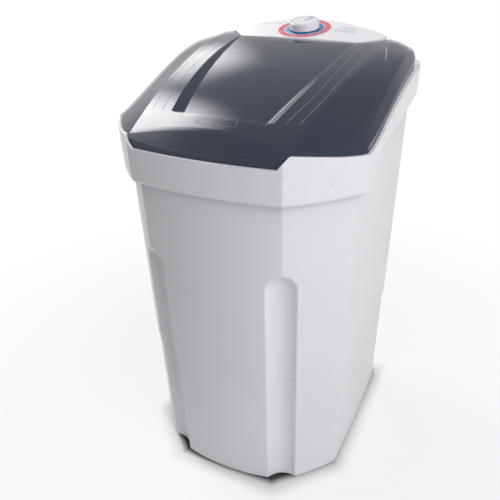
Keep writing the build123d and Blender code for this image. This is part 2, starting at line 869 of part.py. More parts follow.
def panel_prism(grow=0.0, open_rear=False):
    """Upright prism of the panel's plan; with open_rear it runs on behind the panel."""
    corners = [(panel_front_half, panel_front_y), (panel_end_half, panel_end_y),
               (panel_rear_half, panel_rear_y)]
    sides = [degrees(atan2(b[1] - a[1], b[0] - a[0])) for a, b in zip(corners, corners[1:])]
    front_turn = degrees(2 * atan2(panel_front_bow, panel_front_half))
    rear_turn = 180 - degrees(2 * atan2(panel_rear_bow, panel_rear_half))
    turns = [front_turn] + sides + [rear_turn]
    right = [grown_corner(corner, before, after, grow)
             for corner, before, after in zip(corners, turns, turns[1:])]
    left = [Vector(-point.X, point.Y) for point in reversed(right)]
    rear_y = panel_rear_y + panel_rear_bow + grow
    plan = make_face([
        ThreePointArc(left[-1], (0, panel_front_y - panel_front_bow - grow), right[0]),
        Polyline(right),
        ThreePointArc(right[-1], (0, rear_y), left[0]),
        Polyline(left),
    ])
    if open_rear:
        side = right[-1].X
        behind = Rectangle(2 * side, reach, align=(Align.CENTER, Align.MIN))
        plan += Pos(0, panel_rear_y) * behind
    return extrude(Pos(0, 0, tub_seat_rear_z) * plan, amount=reach / 2)


def panel_fall(x):
    """How far the panel's crown falls at a distance from the middle."""
    return panel_crown - sqrt(panel_crown ** 2 - x ** 2)


def crowned_prism(sink=0.0):
    """Everything below the panel's tilted and crowned face, lowered by sink."""
    half = body_rear_y
    fall = panel_fall(half)
    low = tub_seat_rear_z - dial_z

    def point(x, height):
        return tuple(dial_centre + Vector(x, 0, 0) + panel_up * (height - sink))

    profile = make_face([
        ThreePointArc(point(-half, -fall), point(0, 0), point(half, -fall)),
        Polyline(point(half, -fall), point(half, low), point(-half, low), point(-half, -fall)),
    ])
    return extrude(profile, amount=half, dir=tuple(panel_along), both=True)


def control_panel():
    """Console box: crowned top with a round pocket for the dial, walls down to the collar's deck."""
    outer = panel_prism() & crowned_prism()
    outer = outer.fillet(panel_edge_round, [edge for edge in outer.edges() if on_panel_rim(edge)])
    hollow = panel_prism(-panel_wall) & crowned_prism(panel_wall)
    pocket = dial_sunk + dial_thick
    panel = outer - hollow + (on_panel(dial_radius + panel_wall, -pocket - panel_wall, -pocket / 2) & outer)
    panel = panel - on_panel(dial_radius + joint_gap, -pocket, panel_cut)
    panel = panel - on_panel(timer_shaft_radius + 1.5, -panel_cut, panel_cut)
    return panel & above_deck(joint_gap)


def on_panel_rim(edge):
    """True for the edges round the panel's top face."""
    middle = edge @ 0.5
    height = (middle - dial_centre).dot(panel_up)
    return abs(height + panel_fall(middle.X)) < 1.0


def dial_plate():
    """Round plate in the panel's pocket that carries the printed rings."""
    plate = on_panel(dial_radius, -dial_sunk - dial_thick, -dial_sunk)
    return plate - on_panel(timer_shaft_radius + 2.5, -panel_cut, panel_cut)


def local_revolve(points):
    """Solid turned about the dial's axis from radius and height pairs."""
    profile = make_face(Polyline([(radius, 0, height) for radius, height in points], close=True))
    return dial_plane * revolve(profile, Axis.Z)


def timer_knob():
    """Drafted knob: hollow underneath, with a hub on the timer's shaft and a seat for its cap."""
    low = knob_lift
    high = knob_lift + knob_height
    web = high - cap_thick - knob_wall
    bore = timer_shaft_radius + 0.03
    top_radius = knob_radius - knob_draft
    return local_revolve([
        (bore, low), (hub_radius, low), (hub_radius, web), (knob_radius - knob_wall - 1, web),
        (knob_radius - knob_wall, low), (knob_radius, low), (top_radius, high - 1.5),
        (top_radius - 1.5, high),
        (cap_radius + 0.1, high), (cap_radius + 0.1, high - cap_thick), (bore, high - cap_thick),
    ])


def knob_cap():
    """Disc set into the knob's top, with a raised pointer."""
    high = knob_lift + knob_height
    disc = on_panel(cap_radius, high - cap_thick, high - 0.4)
    pointer = Pos(0, cap_radius * 0.45, high) * Box(pointer_width, cap_radius * 0.9, 2 * pointer_proud)
    return disc + dial_plane * (Rot(0, 0, pointer_turn) * pointer)


def timer_shaft():
    return on_panel(timer_shaft_radius, timer_shaft_foot(), knob_lift + knob_height - cap_thick - joint_gap)


def timer_shaft_foot():
    """Lower end of the timer's shaft, measured from the panel."""
    return -timer_gap - timer_depth * 0.6


def timer_body():
    """Clockwork timer hung under the panel, with a round neck against the pocket's underside."""
    case = dial_plane * (Pos(0, 0, -timer_gap - timer_depth / 2) * Box(timer_size, timer_size, timer_depth))
    neck = on_panel(timer_neck, -timer_gap - 1, -dial_sunk - dial_thick - panel_wall)
    return case + neck - on_panel(timer_shaft_radius + hinge_fit, timer_shaft_foot() - joint_gap, panel_cut)


# Impeller, its bearing and the belt drive


def turned(points, x=0.0, y=0.0):
    """Solid turned about an upright axis from radius and height pairs."""
    profile = make_face(Polyline([(radius, 0, z) for radius, z in points], close=True))
    return Pos(x, y, 0) * revolve(profile, Axis.Z)


def impeller():
    """Dished disc with radial vanes and a tall hub on the shaft."""
    low = tub_floor_z + impeller_gap
    top = low + impeller_hub_height
    face = low + impeller_thick
    bore = shaft_radius + shaft_fit / 2
    disc = turned([
        (bore, low), (impeller_radius - 2, low), (impeller_radius, low + 2), (impeller_radius, face + 2),
        (impeller_radius - 3, face + 3), (impeller_radius * 0.55, face), (impeller_hub + 6, face + 3),
        (impeller_hub, top), (impeller_cap_radius, top), (impeller_cap_radius, top - impeller_cap_height),
        (bore, top - impeller_cap_height),
    ])
    foot = face - 1
    inner, outer = impeller_hub - 4, impeller_radius - vane_end
    side = [(inner, foot), (outer, foot), (outer, foot + vane_end / 2), (outer - vane_end, foot + vane_end),
            (impeller_hub + 4, foot + vane_height), (inner, foot + vane_height)]
    profile = make_face(Polyline([(x, 0, z) for x, z in side], close=True))
    vane = extrude(profile, amount=vane_width / 2, dir=(0, 1, 0), both=True)
    ridges = [edge for edge in vane.edges() if edge.center().Z > foot + 5 and abs(edge.center().Y) > 1]
    vane = vane.fillet(vane_round, ridges)
    for turn in range(vane_count):
        disc += Rot(0, 0, turn * 360 / vane_count) * vane
    return Pos(0, axis_y, 0) * disc


def impeller_cap():
    """Rounded plug that closes the impeller's hub."""
    top = tub_floor_z + impeller_gap + impeller_hub_height
    radius = impeller_cap_radius - 0.05
    return turned([(0, top - impeller_cap_height), (radius, top - impeller_cap_height), (radius, top),
                   (radius * 0.8, top + 2), (radius * 0.4, top + 3), (0, top + 3)], 0, axis_y)


def impeller_shaft():
    low = belt_z - pulley_half() - nut_height
    high = tub_floor_z + impeller_gap + impeller_hub_height - impeller_cap_height - 0.5
    return cylinder(shaft_radius, low, high, 0, axis_y)


def pulley_half():
    """Half the height of both pulleys."""
    return belt_height / 2 + belt_clearance + pulley_flange


def bearing_housing():
    """Flanged body under the tub's floor, bored for two bushes and the seal."""
    top = tub_floor_z - tub_wall
    seal_z = top - 2 - seal_thick
    bush = bush_outer + 0.02
    return turned([
        (bush, housing_low_z), (housing_radius, housing_low_z), (housing_radius, top - 18),
        (housing_radius + 5, top - 6), (housing_flange, top - 5), (housing_flange, top),
        (seal_outer + 0.02, top), (seal_outer + 0.02, seal_z),
        (bush, seal_z), (bush, seal_z - bush_length), (bush - 2, seal_z - bush_length),
        (bush - 2, housing_low_z + bush_length), (bush, housing_low_z + bush_length),
    ], 0, axis_y)


def bush_upper():
    high = tub_floor_z - tub_wall - 2 - seal_thick
    return tube(bush_outer, shaft_radius + shaft_fit, high - bush_length, high, 0, axis_y)


def bush_lower():
    return tube(bush_outer, shaft_radius + shaft_fit, housing_low_z, housing_low_z + bush_length, 0, axis_y)


def shaft_seal():
    high = tub_floor_z - tub_wall - 2
    return tube(seal_outer, shaft_radius + shaft_fit, high - seal_thick, high, 0, axis_y)


def grooved_rim(floor, inner):
    """Ring with a belt groove, centred on the belt's level."""
    half = pulley_half()
    groove = half - pulley_flange
    outer = floor + belt_thick + belt_clearance + pulley_rim
    return turned([
        (inner, belt_z - half), (outer, belt_z - half), (outer, belt_z - groove), (floor, belt_z - groove),
        (floor, belt_z + groove), (outer, belt_z + groove), (outer, belt_z + half), (inner, belt_z + half),
    ])


def driven_pulley():
    """Large pulley on the impeller's shaft, with a pierced web."""
    half = pulley_half()
    web = cylinder(groove_big - 3, belt_z - pulley_web / 2, belt_z + pulley_web / 2)
    hole = cylinder(pulley_hole, belt_z - half, belt_z + half, groove_big * 0.58)
    for turn in range(pulley_holes):
        web -= Rot(0, 0, turn * 360 / pulley_holes) * hole
    pulley = grooved_rim(groove_big, groove_big - 5) + web
    pulley += cylinder(pulley_hub, belt_z - half, belt_z + half)
    pulley -= cylinder(shaft_radius + shaft_fit / 2, belt_z - 2 * half, belt_z + 2 * half)
    return Pos(0, axis_y, 0) * pulley


def shaft_nut():
    high = belt_z - pulley_half()
    nut = hexagon(nut_flats / 2, high - nut_height, nut_height)
    return Pos(0, axis_y, 0) * (nut - cylinder(shaft_radius + shaft_fit / 2, high - 2 * nut_height, high + 1))


def hexagon(half_flats, low, height):
    """Upright six-sided prism."""
    return Pos(0, 0, low) * extrude(RegularPolygon(half_flats, 6, major_radius=False), height)


def motor_pulley():
    half = pulley_half()
    bore = rotor_radius + shaft_fit / 2
    pulley = grooved_rim(groove_small, bore) + tube(motor_pulley_hub, bore, belt_z - half - 6, belt_z - half)
    return Pos(0, motor_y(), 0) * pulley


def motor_y():
    return axis_y + motor_offset


def motor():
    """Motor case: two end bells, a banded stator and four ears for the mounts."""
    low = motor_top_z - motor_height
    bell = motor_height * 0.3
    waist = motor_radius - 4
    case = turned([
        (0, low), (motor_radius * 0.6, low), (waist, low + 10), (waist, low + bell),
        (motor_radius, low + bell), (motor_radius, motor_top_z - bell), (waist, motor_top_z - bell),
        (waist, motor_top_z - 8), (waist - 8, motor_top_z), (0, motor_top_z),
    ])
    for x, y in mount_places:
        case += cylinder(mount_radius + 2, motor_top_z - motor_ear_height, motor_top_z, x, y)
    case -= cylinder(rotor_radius + shaft_fit, low - over, motor_top_z + over)
    slot = block((motor_radius * 0.7, -4, low - 1), (motor_radius + 5, 4, low + bell * 0.6))
    for turn in range(motor_slots):
        case -= Rot(0, 0, turn * 360 / motor_slots) * slot
    return Pos(0, motor_y(), 0) * case


def rotor_shaft():
    low = motor_top_z - motor_height - fan_height - rotor_end
    return cylinder(rotor_radius, low, belt_z + pulley_half(), 0, motor_y())


def cooling_fan():
    """Fan under the motor, on the lower end of its shaft."""
    high = motor_top_z - motor_height - 3
    low = high - fan_height
    fan = cylinder(fan_radius, high - 2, high) + cylinder(rotor_radius + 5, low, high)
    for turn in range(fan_blades):
        blade = block((rotor_radius + 3, -1, low), (fan_radius - 1, 1, high))
        fan += Rot(0, 0, turn * 360 / fan_blades) * blade
    fan -= cylinder(rotor_radius + shaft_fit / 2, low - 1, high + 1)
    return Pos(0, motor_y(), 0) * fan


def belt_loop(extra):
    """Face inside a loop drawn round both pulleys."""
    big = Pos(0, axis_y) * Circle(groove_big + belt_clearance + extra)
    small = Pos(0, motor_y()) * Circle(groove_small + belt_clearance + extra)
    return make_hull(big.edges() + small.edges())


def drive_belt():
    loop = belt_loop(belt_thick) - belt_loop(0)
    return extrude(Pos(0, 0, belt_z - belt_height / 2) * loop, belt_height)


def motor_bracket():
    """Pressed plate under the tub that carries the bearing's lower end and the motor."""
    high = bracket_z + bracket_thick
    plate = block((-bracket_half, bracket_front_y, bracket_z), (bracket_half, bracket_rear_y, high))
    plate = plate.fillet(bracket_round, plate.edges().filter_by(Axis.Z))
    inset = bracket_round + 2
    flange = block((bracket_half - bracket_thick, bracket_front_y + inset, high - 1),
                   (bracket_half, bracket_rear_y - inset, high + bracket_flange))
    plate = plate + flange + mirrored(flange)
    plate -= cylinder(housing_radius + joint_gap, bracket_z - 1, high + 1, 0, axis_y)
    for x, y in boss_places:
        plate -= cylinder(screw_radius + joint_gap, bracket_z - 1, high + 1, x, y)
    for x, y in mount_places:
        plate -= cylinder(mount_stud + joint_gap, bracket_z - 1, high + 1, x, motor_y() + y)
    return plate


def motor_mount(x, y):
    """Rubber post with a stud, between the motor's ear and the bracket."""
    post = cylinder(mount_radius, motor_top_z, bracket_z)
    post += cylinder(mount_stud, bracket_z - 1, bracket_z + bracket_thick + mount_stud_end)
    waist = (bracket_z - motor_top_z) * 0.4
    post -= tube(mount_radius + 1, mount_radius - mount_waist, motor_top_z + waist, bracket_z - waist)
    return Pos(x, motor_y() + y, 0) * post


def bracket_bolt(x, y):
    head = Pos(x, y, 0) * hexagon(bolt_head, bracket_z - bolt_head_height, bolt_head_height)
    high = bracket_z + bracket_thick + boss_bore - 2
    return head + cylinder(screw_radius - 0.05, bracket_z - 1, high, x, y)


def capacitor():
    """Can lying on the bracket, with two terminals at one end."""
    z = bracket_z + bracket_thick + clip_thick + capacitor_radius
    half = capacitor_length / 2
    can = bar(capacitor_radius, (-half, capacitor_y, z), (half, capacitor_y, z))
    can = can.fillet(capacitor_round, can.edges().filter_by(GeomType.CIRCLE))
    for side in (-1, 1):
        middle = capacitor_y + side * terminal_place
        can += block((half - 1, middle - 3, z - 0.5), (half + terminal_length, middle + 3, z + 0.5))
    return can


def capacitor_clip():
    """Band round the can, with a foot on the bracket."""
    high = bracket_z + bracket_thick
    z = high + clip_thick + capacitor_radius
    half = clip_width / 2
    outer = bar(capacitor_radius + clip_thick - 0.1, (-half, capacitor_y, z), (half, capacitor_y, z))
    foot_block = block((-half, capacitor_y - clip_foot, high), (half, capacitor_y, high + clip_thick))
    room = bar(capacitor_radius + 0.05, (-half - 1, capacitor_y, z), (half + 1, capacitor_y, z))
    return outer + foot_block - room


# Drain, cord entry and bottom plate


def drain_grille():
    """Pierced disc over the drain, with a skirt through the tub's floor."""
    grille = cylinder(drain_radius + 4, tub_floor_z, tub_floor_z + 2, drain_x, drain_y)
    foot_z = tub_floor_z - tub_wall - 4
    grille += tube(drain_radius, drain_radius - 2, foot_z, tub_floor_z + 1, drain_x, drain_y)
    hole = cylinder(grille_hole, tub_floor_z - 1, tub_floor_z + 3, drain_x, drain_y)
    grille -= hole
    for turn in range(grille_holes):
        angle = turn * 2 * pi / grille_holes
        grille -= Pos(grille_ring * cos(angle), grille_ring * sin(angle), 0) * hole
    return grille


def drain_outlet():
    """Funnel under the drain that ends in a stub for the hose."""
    top = tub_floor_z - tub_wall
    return turned([
        (drain_radius + 0.05, top), (drain_radius + 8, top), (drain_radius + 8, top - 3),
        (drain_radius + 3, top - 3), (drain_radius + 3, top - 12), (stub_radius, drain_low_z + stub_length),
        (stub_radius, drain_low_z), (stub_radius - 2, drain_low_z),
        (stub_radius - 2, drain_low_z + stub_length), (drain_radius + 0.05, top - 9),
    ], drain_x, drain_y)


def drain_hose():
    """Hose from the funnel down and back to the outlet at the rear."""
    high, end = drain_low_z + stub_length - 1, skirt_rear(spigot_z) - wall - 3
    corner = (drain_x, drain_y, spigot_z)
    path = FilletPolyline((drain_x, drain_y, high), corner, (drain_x, end, spigot_z), radius=hose_bend)
    ring = Plane((drain_x, drain_y, high), z_dir=(0, 0, -1)) * (Circle(hose_outer) - Circle(hose_inner))
    return sweep(ring, path)


def turned_back(points, x, z):
    """Solid turned about an axis that runs to the back, from radius and y pairs."""
    profile = make_face(Polyline([(radius, y, 0) for radius, y in points], close=True))
    return Pos(x, 0, z) * revolve(profile, Axis.Y)


def drain_spigot():
    """Flanged outlet at the rear, with a barb for the outer hose."""
    face = skirt_rear(spigot_z) + pad_proud
    inner = face - wall - 2 * pad_proud
    return turned_back([
        (spigot_bore, inner - stub_length), (stub_radius, inner - stub_length), (stub_radius, inner),
        (spigot_radius, inner), (spigot_radius, face), (spigot_pad - 4, face), (spigot_pad - 4, face + 3),
        (spigot_radius, face + 3), (spigot_radius, face + spigot_reach - 4),
        (spigot_radius - 1.5, face + spigot_reach), (spigot_bore, face + spigot_reach),
    ], spigot_x, spigot_z)


def cord_gland():
    """Grommet in the rear wall, bored for the mains lead."""
    face = skirt_rear(gland_z) + pad_proud
    inner = face - wall - 2 * pad_proud
    return turned_back([
        (gland_bore, inner - 3), (gland_radius + 3, inner - 3), (gland_radius + 3, inner),
        (gland_radius, inner), (gland_radius, face), (gland_radius + 4, face), (gland_radius + 4, face + 2),
        (gland_radius, face + gland_reach), (gland_bore, face + gland_reach),
    ], gland_x, gland_z)


def bottom_plate():
    """Vented plate that lies on the skirt's turned-in rim."""
    low = rim_z + wall
    plate = fluted_block(low, low + plate_thick, -skirt_setback - wall - 1.5)
    for x, y in foot_places:
        plate -= cylinder(foot_boss + joint_gap, low - 1, low + plate_thick + 1, x, y)
    for x, y in plate_screws:
        plate -= cylinder(screw_radius + joint_gap, low - 1, low + plate_thick + 1, x, y)
    for row in range(vent_rows):
        y = motor_y() + (row - (vent_rows - 1) / 2) * vent_pitch
        plate -= block((-vent_half, y - vent_width / 2, low - 1),
                       (vent_half, y + vent_width / 2, low + plate_thick + 1))
    return plate


def plate_screw(x, y):
    """Screw through the plate into the skirt's rim."""
    low = rim_z + 0.5
    high = rim_z + wall + plate_thick
    shank = cylinder(screw_radius - 0.05, low, high + 1, x, y)
    return shank + cylinder(2 * screw_radius, high, high + 2, x, y)


# Lint filter


def filter_plane():
    """Plane on the tub's sloping rear wall: z along the wall, y into the wall."""
    slope = atan2(tub_rear_taper, tub_seat_rear_z - tub_floor_z)
    y = mouth_rear_y - tub_rear_taper * (tub_seat_rear_z - filter_z) / (tub_seat_rear_z - tub_floor_z)
    return Plane((0, y, filter_z), x_dir=(1, 0, 0), z_dir=(0, sin(slope), cos(slope)))


def filter_holder():
    """Channel on the rear wall: back, two sides with turned-in lips and a floor."""
    half = filter_half + filter_play + holder_wall
    depth = filter_depth + 2 * filter_play + 2 * holder_wall
    high = filter_height * 0.8
    holder = block((-half, -depth, 0), (half, 0, high))
    room = filter_half + filter_play
    holder -= block((-room, -depth + holder_wall, holder_wall), (room, -holder_wall, high + 1))
    front = room - holder_lip
    holder -= block((-front, -depth - 1, holder_wall + holder_lip),
                    (front, -depth + holder_wall + 1, high + 1))
    return filter_plane() * holder


def lint_filter():
    """Cartridge: frame with a pierced front and a grip along its top."""
    low = holder_wall + joint_gap
    back = -holder_wall - filter_play
    front = back - filter_depth
    inner = filter_half - holder_wall
    frame = block((-filter_half, front, low), (filter_half, back, filter_height))
    frame -= block((-inner, front + holder_wall, low + holder_wall),
                   (inner, back - holder_wall, filter_height - filter_head))
    for column in range(mesh_columns):
        for row in range(mesh_rows):
            x = (column - (mesh_columns - 1) / 2) * mesh_pitch
            z = low + mesh_foot + row * mesh_rise
            frame -= block((x - mesh_half, front - 1, z - mesh_high),
                           (x + mesh_half, front + holder_wall + 1, z + mesh_high))
    grip = block((-grip_half, front - grip_reach, filter_height - grip_thick),
                 (grip_half, front + 1, filter_height))
    return filter_plane() * (frame + grip)


# Every node of the assembly, in the order of the record


def nodes():
    """Node names with the function that builds each."""
    single = [
        cabinet_shell, base_skirt, bottom_plate, top_collar, lid, control_panel, dial_plate, timer_knob,
        knob_cap, timer_shaft, timer_body, wash_tub, impeller, impeller_cap, impeller_shaft, shaft_seal,
        bush_upper, bush_lower, bearing_housing, driven_pulley, shaft_nut, motor_bracket, motor,
        rotor_shaft, motor_pulley, cooling_fan, drive_belt, capacitor, capacitor_clip, drain_grille,
        drain_outlet, drain_hose, drain_spigot, cord_gland, filter_holder, lint_filter,
    ]
    made = {build.__name__: build for build in single}
    for name, x in (("hinge_pin_left", -hinge_x), ("hinge_pin_right", hinge_x)):
        made[name] = lambda x=x: hinge_pin(x)
    groups = (("foot", foot, foot_places), ("motor_mount", motor_mount, mount_places),
              ("bracket_bolt", bracket_bolt, boss_places), ("plate_screw", plate_screw, plate_screws))
    for group, build, places in groups:
        for number, (x, y) in enumerate(places, 1):
            made[f"{group}_{number}"] = lambda build=build, x=x, y=y: build(x, y)
    return made


os.makedirs("parts", exist_ok=True)
for name, build in nodes().items():
    export_step(build(), f"parts/{name}.step")
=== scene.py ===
import json
import math

import bpy
import bmesh
from mathutils import Matrix, Vector
from mathutils.bvhtree import BVHTree


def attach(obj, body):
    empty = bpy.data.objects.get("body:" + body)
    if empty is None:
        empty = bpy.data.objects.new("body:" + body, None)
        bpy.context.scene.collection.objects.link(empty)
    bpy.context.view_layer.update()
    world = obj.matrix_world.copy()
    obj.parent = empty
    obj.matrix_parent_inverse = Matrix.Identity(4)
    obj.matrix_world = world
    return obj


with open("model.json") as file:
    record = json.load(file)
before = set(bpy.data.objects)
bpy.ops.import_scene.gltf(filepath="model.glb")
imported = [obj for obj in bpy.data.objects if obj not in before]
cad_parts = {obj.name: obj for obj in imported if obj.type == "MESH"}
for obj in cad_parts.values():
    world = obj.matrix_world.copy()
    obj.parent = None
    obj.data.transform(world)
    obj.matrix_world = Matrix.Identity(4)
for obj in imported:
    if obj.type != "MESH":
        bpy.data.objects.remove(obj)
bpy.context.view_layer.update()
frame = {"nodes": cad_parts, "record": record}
scene = bpy.context.scene
nodes = frame["nodes"]
mm = 0.001


# Node helpers

noise_low, noise_high = 0.3, 0.7       # most values of a noise texture lie between these


def new_material(name):
    material = bpy.data.materials.new(name)
    material.use_nodes = True
    shader = material.node_tree.nodes["Principled BSDF"]
    return material, material.node_tree, shader


def add(tree, kind, **values):
    """A new node; a value goes to the socket of its name, or else to the node itself."""
    node = tree.nodes.new(kind)
    for key, value in values.items():
        if key in node.inputs:
            node.inputs[key].default_value = value
        else:
            setattr(node, key, value)
    return node


def noise(tree, scale, detail=3.0, roughness=0.5, stretch=None):
    """Cloudy values that are fixed to the object."""
    source = add(tree, "ShaderNodeTexCoord").outputs["Object"]
    if stretch:
        mapping = add(tree, "ShaderNodeMapping", Scale=stretch)
        tree.links.new(source, mapping.inputs["Vector"])
        source = mapping.outputs["Vector"]
    texture = add(tree, "ShaderNodeTexNoise", Scale=scale, Detail=detail, Roughness=roughness)
    tree.links.new(source, texture.inputs["Vector"])
    return texture.outputs["Fac"]


def axes(tree, vector):
    """The outputs X, Y and Z of a vector."""
    node = add(tree, "ShaderNodeSeparateXYZ")
    tree.links.new(vector, node.inputs[0])
    return node.outputs


def ramp(tree, source, stops):
    """A colour that runs between two stops, each a value of the source and its colour."""
    node = add(tree, "ShaderNodeValToRGB")
    for element, (value, colour) in zip(node.color_ramp.elements, stops):
        element.position, element.color = value, (*colour, 1)
    tree.links.new(source, node.inputs["Fac"])
    return node.outputs["Color"]


def spread(tree, source, low, high, out_low, out_high, smooth=False):
    """The source's range from low to high, carried over to another range and kept within it."""
    node = add(tree, "ShaderNodeMapRange")
    if smooth:
        node.interpolation_type = "SMOOTHSTEP"
    node.inputs["From Min"].default_value = low
    node.inputs["From Max"].default_value = high
    node.inputs["To Min"].default_value = out_low
    node.inputs["To Max"].default_value = out_high
    tree.links.new(source, node.inputs["Value"])
    return node.outputs["Result"]


def maths(tree, operation, *sources):
    node = add(tree, "ShaderNodeMath", operation=operation)
    for socket, source in zip(node.inputs, sources):
        if isinstance(source, (int, float)):
            socket.default_value = source
        else:
            tree.links.new(source, socket)
    return node.outputs["Value"]


def shade(colour, factor):
    return tuple(min(1.0, c * factor) for c in colour)


def cloudy_colour(tree, shader, source, colour, darkest, lightest):
    """The base colour, varied by a noise between two shares of it."""
    stops = [(noise_low, shade(colour, darkest)), (noise_high, shade(colour, lightest))]
    tree.links.new(ramp(tree, source, stops), shader.inputs["Base Color"])


def uneven_gloss(tree, shader, source, low, high):
    """The roughness, varied by a noise."""
    roughness = spread(tree, source, noise_low, noise_high, low, high)
    tree.links.new(roughness, shader.inputs["Roughness"])


def bump(tree, shader, height, strength, distance):
    node = add(tree, "ShaderNodeBump", Strength=strength, Distance=distance)
    tree.links.new(height, node.inputs["Height"])
    tree.links.new(node.outputs["Normal"], shader.inputs["Normal"])


# Materials


def plastic(name, colour, rough, variation, grain=380.0, grain_strength=0.03,
            metallic=0.0, clear=0.0):
    """Moulded plastic: faint cloudy colour, fine texture and uneven gloss."""
    material, tree, shader = new_material(name)
    cloud = noise(tree, scale=6.0, detail=4.0, roughness=0.55)
    cloudy_colour(tree, shader, cloud, colour, 1 - variation, 1 + variation)
    uneven_gloss(tree, shader, noise(tree, scale=18.0), rough * 0.88, rough * 1.12)
    shader.inputs["Metallic"].default_value = metallic
    shader.inputs["Coat Weight"].default_value = clear
    texture = noise(tree, scale=grain, detail=2.0, roughness=0.6)
    bump(tree, shader, texture, grain_strength, distance=0.0004)
    return material


def metal(name, colour, rough, stretch=None, scale=300.0, strength=0.1):
    """Metal with a drawn or cast surface."""
    material, tree, shader = new_material(name)
    lines = noise(tree, scale, detail=4.0, roughness=0.6, stretch=stretch)
    cloudy_colour(tree, shader, lines, colour, 0.88, 1.08)
    uneven_gloss(tree, shader, lines, rough * 0.8, rough * 1.25)
    shader.inputs["Metallic"].default_value = 1.0
    bump(tree, shader, lines, strength, distance=0.0003)
    return material


def tinted(name, colour, cover, edge_cover):
    """Clear tinted plastic, denser where it stands steep.

    Only its outer side carries the tint, so that each wall is counted once.
    """
    steep, level = 0.45, 0.88       # heights of the normal between which the cover changes
    material, tree, shader = new_material(name)
    cloudy_colour(tree, shader, noise(tree, scale=4.0), colour, 0.95, 1.06)
    uneven_gloss(tree, shader, noise(tree, scale=20.0), 0.07, 0.10)
    backfacing = add(tree, "ShaderNodeNewGeometry").outputs["Backfacing"]
    outer = maths(tree, "SUBTRACT", 1.0, backfacing)
    upright = axes(tree, add(tree, "ShaderNodeTexCoord").outputs["Normal"])["Z"]
    dense = spread(tree, upright, steep, level, edge_cover, cover, smooth=True)
    tree.links.new(maths(tree, "MULTIPLY", outer, dense), shader.inputs["Alpha"])
    shader.inputs["IOR"].default_value = 1.5
    texture = noise(tree, scale=700.0, detail=2.0, roughness=0.6)
    bump(tree, shader, texture, strength=0.02, distance=0.0002)
    return material


plastics = {
    "casing_white": dict(colour=(0.80, 0.80, 0.83), rough=0.34, variation=0.012),
    "collar_white": dict(colour=(0.82, 0.82, 0.85), rough=0.30, variation=0.012),
    "panel_white": dict(colour=(0.79, 0.79, 0.82), rough=0.32, variation=0.01),
    "dial_print": dict(colour=(0.80, 0.80, 0.83), rough=0.35, variation=0.02),
    "knob_white": dict(colour=(0.80, 0.80, 0.84), rough=0.25, variation=0.01, clear=0.3),
    "knob_cap_grey": dict(colour=(0.72, 0.73, 0.77), rough=0.25, variation=0.01, clear=0.3),
    "tub_white": dict(colour=(0.78, 0.79, 0.81), rough=0.42, variation=0.015),
    "impeller_blue": dict(colour=(0.42, 0.55, 0.72), rough=0.3, variation=0.03),
    "filter_blue": dict(colour=(0.10, 0.22, 0.46), rough=0.4, variation=0.05),
    "filter_white": dict(colour=(0.70, 0.72, 0.75), rough=0.4, variation=0.02),
    "dark_plastic": dict(colour=(0.030, 0.030, 0.033), rough=0.5, variation=0.12,
                         grain=500.0, grain_strength=0.3),
    "black_rubber": dict(colour=(0.018, 0.018, 0.019), rough=0.75, variation=0.2,
                         grain=350.0, grain_strength=0.5),
    "hose_grey": dict(colour=(0.16, 0.17, 0.18), rough=0.6, variation=0.08,
                      grain=300.0, grain_strength=0.3),
    "motor_grey": dict(colour=(0.06, 0.065, 0.075), rough=0.42, variation=0.1,
                       grain=500.0, grain_strength=0.25, metallic=0.3),
}
metals = {
    "cast_alloy": dict(colour=(0.56, 0.57, 0.58), rough=0.45, scale=450.0, strength=0.35),
    "bush_bronze": dict(colour=(0.52, 0.33, 0.15), rough=0.45),
    "steel_bright": dict(colour=(0.60, 0.61, 0.62), rough=0.28, stretch=(1, 1, 12), scale=120.0),
    "steel_plated": dict(colour=(0.50, 0.52, 0.55), rough=0.36, stretch=(1, 10, 1), scale=90.0),
    "can_alloy": dict(colour=(0.60, 0.61, 0.63), rough=0.3, stretch=(12, 1, 1), scale=120.0),
}
inks = {
    "print_red": dict(colour=(0.62, 0.075, 0.10), rough=0.4, variation=0.04),
    "print_blue": dict(colour=(0.045, 0.17, 0.42), rough=0.4, variation=0.06),
    "print_teal": dict(colour=(0.16, 0.42, 0.58), rough=0.4, variation=0.05),
    "print_pale": dict(colour=(0.78, 0.80, 0.84), rough=0.4, variation=0.02),
    "print_rose": dict(colour=(0.72, 0.50, 0.48), rough=0.4, variation=0.05),
    "print_grey": dict(colour=(0.20, 0.21, 0.24), rough=0.4, variation=0.06),
    "lid_line": dict(colour=(0.10, 0.12, 0.15), rough=0.2, variation=0.05),
}
looks = {name: plastic(name, **values) for name, values in plastics.items()}
looks.update({name: metal(name, **values) for name, values in metals.items()})
looks["lid_tint"] = tinted("lid_tint", (0.006, 0.018, 0.046), cover=0.78, edge_cover=0.97)
prints = {name: plastic(name, grain=600.0, grain_strength=0.05, **values)
          for name, values in inks.items()}

slot_of = {entry["node"]: entry["material_slot"] for entry in frame["record"]["subparts"]}
for name, node in nodes.items():
    node.data.materials.clear()
    node.data.materials.append(looks[slot_of[name]])


# Helpers for thin pieces that lie on the solids


def surface(node):
    """The faces of a CAD node, for laying thin pieces on them."""
    mesh = nodes[node].data
    corners = [vertex.co.copy() for vertex in mesh.vertices]
    return BVHTree.FromPolygons(corners, [tuple(face.vertices) for face in mesh.polygons])


def place(name, form, body, material):
    """Turn a form into a named piece that rides on a body."""
    mesh = bpy.data.meshes.new(name)
    bmesh.ops.recalc_face_normals(form, faces=form.faces)
    form.to_mesh(mesh)
    form.free()
    piece = bpy.data.objects.new(name, mesh)
    scene.collection.objects.link(piece)
    mesh.materials.append(material)
    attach(piece, body)


def down_on(tree, x, y):
    """The point and normal of a surface below a place above the whole machine."""
    above = 1.2
    spot, normal, _, _ = tree.ray_cast(Vector((x, y, above)), Vector((0, 0, -1)))
    return spot, -normal if normal.z < 0 else normal


